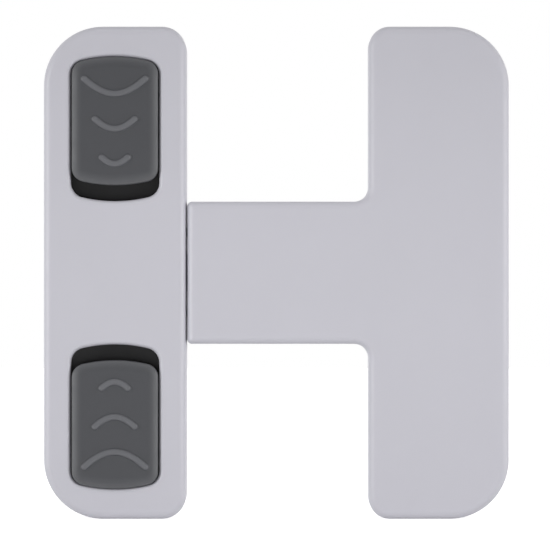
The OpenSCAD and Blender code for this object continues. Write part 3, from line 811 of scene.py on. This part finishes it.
def spring_mould(s, way):
    """A compression spring: a wire round a helix whose pitch closes up over its first and last turn.
    A point is centre + wire / 2 * (cos b * out + sin b * across), with out across the coil and across
    square to the wire. Its rise is that of closed turns, plus the rest spread as the turns open."""
    turns, rings, sides = 9, 300, 12
    closed_pitch = s.wire + 0.02 * MM
    radius = (SPRING_HIGH.x - SPRING_LOW.x - s.wire) / 2
    depth = -(SPRING_HIGH.y + SPRING_LOW.y) / 2
    length = SPRING_HIGH.z - SPRING_LOW.z - s.wire
    turn = np.linspace(0, turns, rings)
    open_share = np.clip(np.minimum(turn, turns - turn) - 0.6, 0, 1)
    spread = np.append(0, np.cumsum((open_share[1:] + open_share[:-1]) / 2 * np.diff(turn)))
    closed_rise = closed_pitch * turn
    rise = closed_rise + spread * (length - closed_rise[-1]) / spread[-1]
    slope = np.arctan2(np.gradient(rise, turn), FULL_TURN * radius)[:, None]
    a = (FULL_TURN * turn)[:, None]
    b = np.linspace(0, FULL_TURN, sides, endpoint=False)[None]
    out = radius + s.wire / 2 * np.cos(b)
    across = s.wire / 2 * np.sin(b)
    mould = Mould()
    tube = np.dstack([
        out * np.cos(a) + across * np.sin(a) * np.sin(slope),
        way * (SPRING_LOW.z + s.wire / 2 + rise[:, None] + across * np.cos(slope)),
        depth + out * np.sin(a) - across * np.cos(a) * np.sin(slope),
    ])
    mould.band(tube)
    mould.face(tube[0])
    mould.face(tube[-1])
    return mould


def beam_mould(s, way):
    """An arm from its anchor to its hook: a strip whose end steps out to a flat crest and then slopes
    to a tip. The frame gives its reach and its depth; way is -1 for the lower arm."""
    low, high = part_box("upper_latch_arm")
    play, thickness, crest_length, depth = 0.2 * MM, 1.8 * MM, 2 * MM, 4 * MM
    shoulder = LATCH_HIGH.x - s.wall - play
    root = high.x - 2 * ANCHOR_HALF_WIDTH + SUNK
    outer, inner, crest = s.arm_reach, s.arm_reach - thickness, high.z
    outline = np.array([
        [low.x, inner], [root, inner], [root, outer], [shoulder, outer], [shoulder, crest],
        [shoulder - crest_length, crest], [low.x, (inner + outer) / 2],
    ])
    mould = Mould()
    mould.slab(outline, -low.y - depth, -low.y)
    return mould.flipped(way)


def anchor_mould(s, way):
    """An arm's anchor: a block round the screw boss that holds it, with its edges rounded. Its rings
    lie on rays from the boss's axis at equal angles a, which meet the block's sides at the lesser of
    half_width / |cos a| and half_height / |sin a|."""
    low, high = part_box("upper_latch_arm")
    back, front, edge, play = -high.y, -low.y, INNER_EDGE, 0.15 * MM
    off_axes = 1e-4
    a = np.linspace(0, FULL_TURN, 96, endpoint=False) + off_axes
    rays = np.column_stack([np.cos(a), np.sin(a)])
    axis = screw_axis("upper_bridge_screw")

    def bore(grow, z):
        """The bore's edge, moved out by grow."""
        return raised(axis + (s.boss_radius + play + grow) * rays, z)

    def block(inset, z):
        """The block's edge, moved in by inset."""
        reach = np.array([ANCHOR_HALF_WIDTH - inset, ANCHOR_HALF_HEIGHT - inset]) / np.abs(rays)
        return raised(axis + reach.min(1, keepdims=True) * rays, z)

    mould = Mould()
    mould.band([
        bore(0, back + edge), bore(edge, back), block(edge, back), block(0, back + edge),
        block(0, front - edge), block(edge, front), bore(edge, front), bore(0, front - edge),
        bore(0, back + edge),
    ])
    return mould.flipped(way)


def tape_mould(low, high, outline):
    """A foam tape: the outline through its thickness, with its cut side a little hollow."""
    mould = Mould()
    thickness = high.y - low.y
    round_edge, slope, hollow = 0.1 * MM, 0.09 * MM, 0.12 * MM
    levels = [
        (round_edge, 0.0), (0.0, round_edge), (slope, thickness * 0.35), (hollow, thickness * 0.5),
        (slope, thickness * 0.65), (0.0, thickness - round_edge), (round_edge, thickness),
    ]
    rings = [raised(inset_polygon(outline, inset), z) for inset, z in levels]
    mould.band(rings, finish=1)
    mould.face(rings[0])
    mould.face(rings[-1])
    return mould


# Operators


class LatchCover(bpy.types.Operator):
    """Make the latch bar's cover, with its two button windows"""

    bl_idname = "cabinet_lock.latch_cover"
    bl_label = "Latch cover"

    def execute(self, context):
        shell = cast("latch_shell", latch_mould(context.scene.lock_sizes), [finish_named("satin_abs_shell")])
        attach(shell, "latch")
        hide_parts("latch_cover")
        return {"FINISHED"}


class CatchCover(bpy.types.Operator):
    """Make the T-shaped cover of the catch"""

    bl_idname = "cabinet_lock.catch_cover"
    bl_label = "Catch cover"

    def execute(self, context):
        shell = cast("catch_shell", catch_mould(context.scene.lock_sizes), [finish_named("satin_abs_shell")])
        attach(shell, "catch")
        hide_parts("catch_cover")
        return {"FINISHED"}


class Buttons(bpy.types.Operator):
    """Make the two ribbed slide buttons"""

    bl_idname = "cabinet_lock.buttons"
    bl_label = "Buttons"

    def execute(self, context):
        s, abs_plastic = context.scene.lock_sizes, [finish_named("matt_abs_button")]
        for name, way in (("upper_button", 1), ("lower_button", -1)):
            cap = cast(name + "_cap", cap_mould(s, way), abs_plastic, sharp=50)
            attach(cap, name)
            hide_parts(name)
        return {"FINISHED"}


class BasePlates(bpy.types.Operator):
    """Finish the two base plates and the rail plate"""

    bl_idname = "cabinet_lock.base_plates"
    bl_label = "Base plates"

    def execute(self, context):
        for node in ("latch_base", "catch_base", "rail_plate"):
            plate = dress(node, finish_named("satin_abs_shell"))
            break_edges(plate, context.scene.lock_sizes.moulded_edge)
        return {"FINISHED"}


class Sliders(bpy.types.Operator):
    """Finish the two black carriages behind the buttons"""

    bl_idname = "cabinet_lock.sliders"
    bl_label = "Sliders"

    def execute(self, context):
        for node in ("upper_slider", "lower_slider"):
            slider = dress(node, finish_named("black_acetal_and_shade"))
            break_edges(slider, context.scene.lock_sizes.moulded_edge)
        return {"FINISHED"}


class Springs(bpy.types.Operator):
    """Make the two button springs, each with a mesh of its own"""

    bl_idname = "cabinet_lock.springs"
    bl_label = "Springs"

    def execute(self, context):
        s, steel = context.scene.lock_sizes, [finish_named("drawn_spring_steel")]
        for side, way in (("upper", 1), ("lower", -1)):
            spring = cast(side + "_coil", spring_mould(s, way), steel, sharp=60)
            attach(spring, "latch")
            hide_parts(side + "_spring")
            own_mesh(spring)
        return {"FINISHED"}


class LatchArms(bpy.types.Operator):
    """Make the two hooked arms, each beam with a mesh of its own"""

    bl_idname = "cabinet_lock.latch_arms"
    bl_label = "Latch arms"

    def execute(self, context):
        s, acetal = context.scene.lock_sizes, [finish_named("natural_acetal")]
        for side, way in (("upper", 1), ("lower", -1)):
            beam = cast(side + "_hooked_beam", beam_mould(s, way), acetal)
            anchor = cast(side + "_arm_anchor", anchor_mould(s, way), acetal)
            for piece in (beam, anchor):
                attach(piece, "catch")
                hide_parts(side + "_latch_arm")
            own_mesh(beam)
        return {"FINISHED"}


class Screws(bpy.types.Operator):
    """Finish the countersunk screws"""

    bl_idname = "cabinet_lock.screws"
    bl_label = "Screws"

    def execute(self, context):
        for node in sorted(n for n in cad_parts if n.endswith("_screw")):
            screw = dress(node, finish_named("zinc_plated_steel"))
            break_edges(screw, 0.06 * MM)
        return {"FINISHED"}


class FoamTapes(bpy.types.Operator):
    """Make the foam tapes that stick the lock to its doors"""

    bl_idname = "cabinet_lock.foam_tapes"
    bl_label = "Foam tapes"

    def execute(self, context):
        s = context.scene.lock_sizes
        finishes = [finish_named("adhesive_film"), finish_named("cut_foam")]
        latch_inset = (s.latch_width - (LATCH_PAD_HIGH.x - LATCH_PAD_LOW.x)) / 2
        width, height = RAIL_PAD_HIGH.x - RAIL_PAD_LOW.x, RAIL_PAD_HIGH.z - RAIL_PAD_LOW.z
        rail_inset = (s.bar_height - height) / 2
        rail = bar_outline(
            -width / 2, width / 2, height, inset_radius(s.catch_inner_corner, rail_inset),
            inset_radius(s.outer_corner, rail_inset), s.slot_height / 2,
        ) + [(RAIL_PAD_LOW.x + RAIL_PAD_HIGH.x) / 2, 0]
        for name, node, low, high, outline in (
            ("latch_tape", "latch_pad", LATCH_PAD_LOW, LATCH_PAD_HIGH, latch_outline(s, latch_inset)),
            ("rail_tape", "rail_pad", RAIL_PAD_LOW, RAIL_PAD_HIGH, rail),
        ):
            tape = cast(name, tape_mould(low, high, outline), finishes, sharp=50)
            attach(tape, "latch")
            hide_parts(node)
        return {"FINISHED"}


def soft_box(name, place, target):
    """An area lamp at place that faces target, with a honeycomb that narrows its beam."""
    data = bpy.data.lights.new(name, "AREA")
    data.shape, data.size, data.size_y = "RECTANGLE", 0.22, 0.14
    data.energy, data.spread = 0.051, math.radians(26)
    lamp = collect(bpy.data.objects.new(name, data))
    lamp.location = place
    lamp.rotation_euler = (target - place).to_track_quat("-Z", "Y").to_euler()


def seen_directly(tree):
    """1 for a ray from the camera, or one that a glossy or clear surface sends on."""
    path = add_node(tree, "LightPath")
    glossy = add_node(tree, "Math", {
        0: path.outputs["Is Camera Ray"], 1: path.outputs["Is Glossy Ray"],
    }, operation="MAXIMUM")
    return add_node(tree, "Math", {0: glossy, 1: path.outputs["Is Transmission Ray"]}, operation="MAXIMUM")


class Stage(bpy.types.Operator):
    """Make the floor, the lamps, the white surround and the camera"""

    bl_idname = "cabinet_lock.stage"
    bl_label = "Stage"

    def execute(self, context):
        scene, s = context.scene, context.scene.lock_sizes
        scene.view_settings.view_transform = "Standard"
        floor_mesh = bpy.data.meshes.new("floor")
        reach, level = 1.6, -s.bar_height / 2
        corners = [(x * reach, y * reach, level) for x, y in ((-1, -1), (1, -1), (1, 1), (-1, 1))]
        floor_mesh.from_pydata(corners, [], [(0, 1, 2, 3)])
        floor = collect(bpy.data.objects.new("floor", floor_mesh))
        material, tree, _ = started("painted_floor")
        paint = add_node(tree, "BsdfDiffuse", {"Color": shaded(scene.lock_colours.floor, 1.0)})
        glow = add_node(tree, "Emission", {"Color": (0.8, 0.8, 0.8, 1.0), "Strength": seen_directly(tree)})
        add_node(tree, "OutputMaterial", {"Surface": add_node(tree, "AddShader", {0: paint, 1: glow})})
        floor_mesh.materials.append(material)
        floor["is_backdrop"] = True

        world = bpy.data.worlds.new("white_surround")
        world.use_nodes = True
        scene.world = world
        tree = world.node_tree
        tree.nodes.clear()
        seen = seen_directly(tree)
        # The studio is white behind the lock, dim behind the camera and under its ceiling.
        towards = add_node(tree, "SeparateXYZ", {"Vector": add_node(tree, "TexCoord").outputs["Generated"]})
        room = add_node(tree, "MapRange", {
            "Value": towards.outputs["Y"], "From Min": -0.97, "From Max": -0.6, "To Min": 0.08, "To Max": 1.0,
        })
        ceiling = add_node(tree, "MapRange", {
            "Value": towards.outputs["Z"], "From Min": 0.8, "From Max": 1.0, "To Min": 1.0, "To Max": 0.4,
        })
        mirrored_room = add_node(tree, "Math", {0: room, 1: ceiling}, operation="MULTIPLY")
        straight = add_node(tree, "LightPath")
        shown = add_node(tree, "Math", {
            0: straight.outputs["Is Camera Ray"], 1: mirrored_room,
        }, operation="MAXIMUM")
        soft = add_node(tree, "MapRange", {"Value": towards.outputs["Z"], "To Min": 0.745, "To Max": 0.46})
        paper = (1.0, 1.0, 1.0, 1.0)
        fill = add_node(tree, "Background", {"Color": paper, "Strength": soft})
        white = add_node(tree, "Background", {"Color": paper, "Strength": shown})
        both = add_node(tree, "MixShader", {0: seen, 1: fill, 2: white})
        add_node(tree, "OutputWorld", {"Surface": both})

        # The lamps stand half a metre to each side, clear of the floor, and aim a little low.
        low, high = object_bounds()
        middle = (low + high) / 2
        for name, aside in (("left_soft_box", -0.515), ("right_soft_box", 0.515)):
            soft_box(name, middle + Vector((aside, -0.295, 0.035)), middle - Vector((0, 0, 9 * MM)))

        camera_data = bpy.data.cameras.new("camera")
        camera_data.lens, camera_data.clip_start = 358.4, 0.01
        camera = collect(bpy.data.objects.new("camera", camera_data))
        camera.location = (29.25 * MM, -1015 * MM, -0.41 * MM)
        camera.rotation_euler = (math.pi / 2, 0, 0)
        scene.camera = camera
        return {"FINISHED"}


PIECES = (
    LatchCover, CatchCover, Buttons, BasePlates, Sliders, Springs, LatchArms, Screws, FoamTapes, Stage,
)


class LockPanel(bpy.types.Panel):
    """Lists the lock's pieces and its sizes and colours"""

    bl_idname = "VIEW3D_PT_cabinet_lock"
    bl_label = "Cabinet lock"
    bl_space_type = "VIEW_3D"
    bl_region_type = "UI"
    bl_category = "Cabinet lock"

    def draw(self, context):
        for piece in PIECES:
            self.layout.operator(piece.bl_idname)
        for group in (context.scene.lock_sizes, context.scene.lock_colours):
            for name in group.__annotations__:
                self.layout.prop(group, name)


CLASSES = (LockSizes, LockColours) + PIECES + (LockPanel,)


def register():
    """Register the classes, and give the scene the lock's sizes and colours."""
    for item in CLASSES:
        bpy.utils.register_class(item)
    bpy.types.Scene.lock_sizes = bpy.props.PointerProperty(type=LockSizes)
    bpy.types.Scene.lock_colours = bpy.props.PointerProperty(type=LockColours)


def unregister():
    """Take them all out again."""
    del bpy.types.Scene.lock_colours
    del bpy.types.Scene.lock_sizes
    for item in reversed(CLASSES):
        bpy.utils.unregister_class(item)


def main():
    """Register the classes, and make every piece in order."""
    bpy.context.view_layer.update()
    register()
    bpy.ops.cabinet_lock.latch_cover()
    bpy.ops.cabinet_lock.catch_cover()
    bpy.ops.cabinet_lock.buttons()
    bpy.ops.cabinet_lock.base_plates()
    bpy.ops.cabinet_lock.sliders()
    bpy.ops.cabinet_lock.springs()
    bpy.ops.cabinet_lock.latch_arms()
    bpy.ops.cabinet_lock.screws()
    bpy.ops.cabinet_lock.foam_tapes()
    bpy.ops.cabinet_lock.stage()


if __name__ == "__main__":
    main()
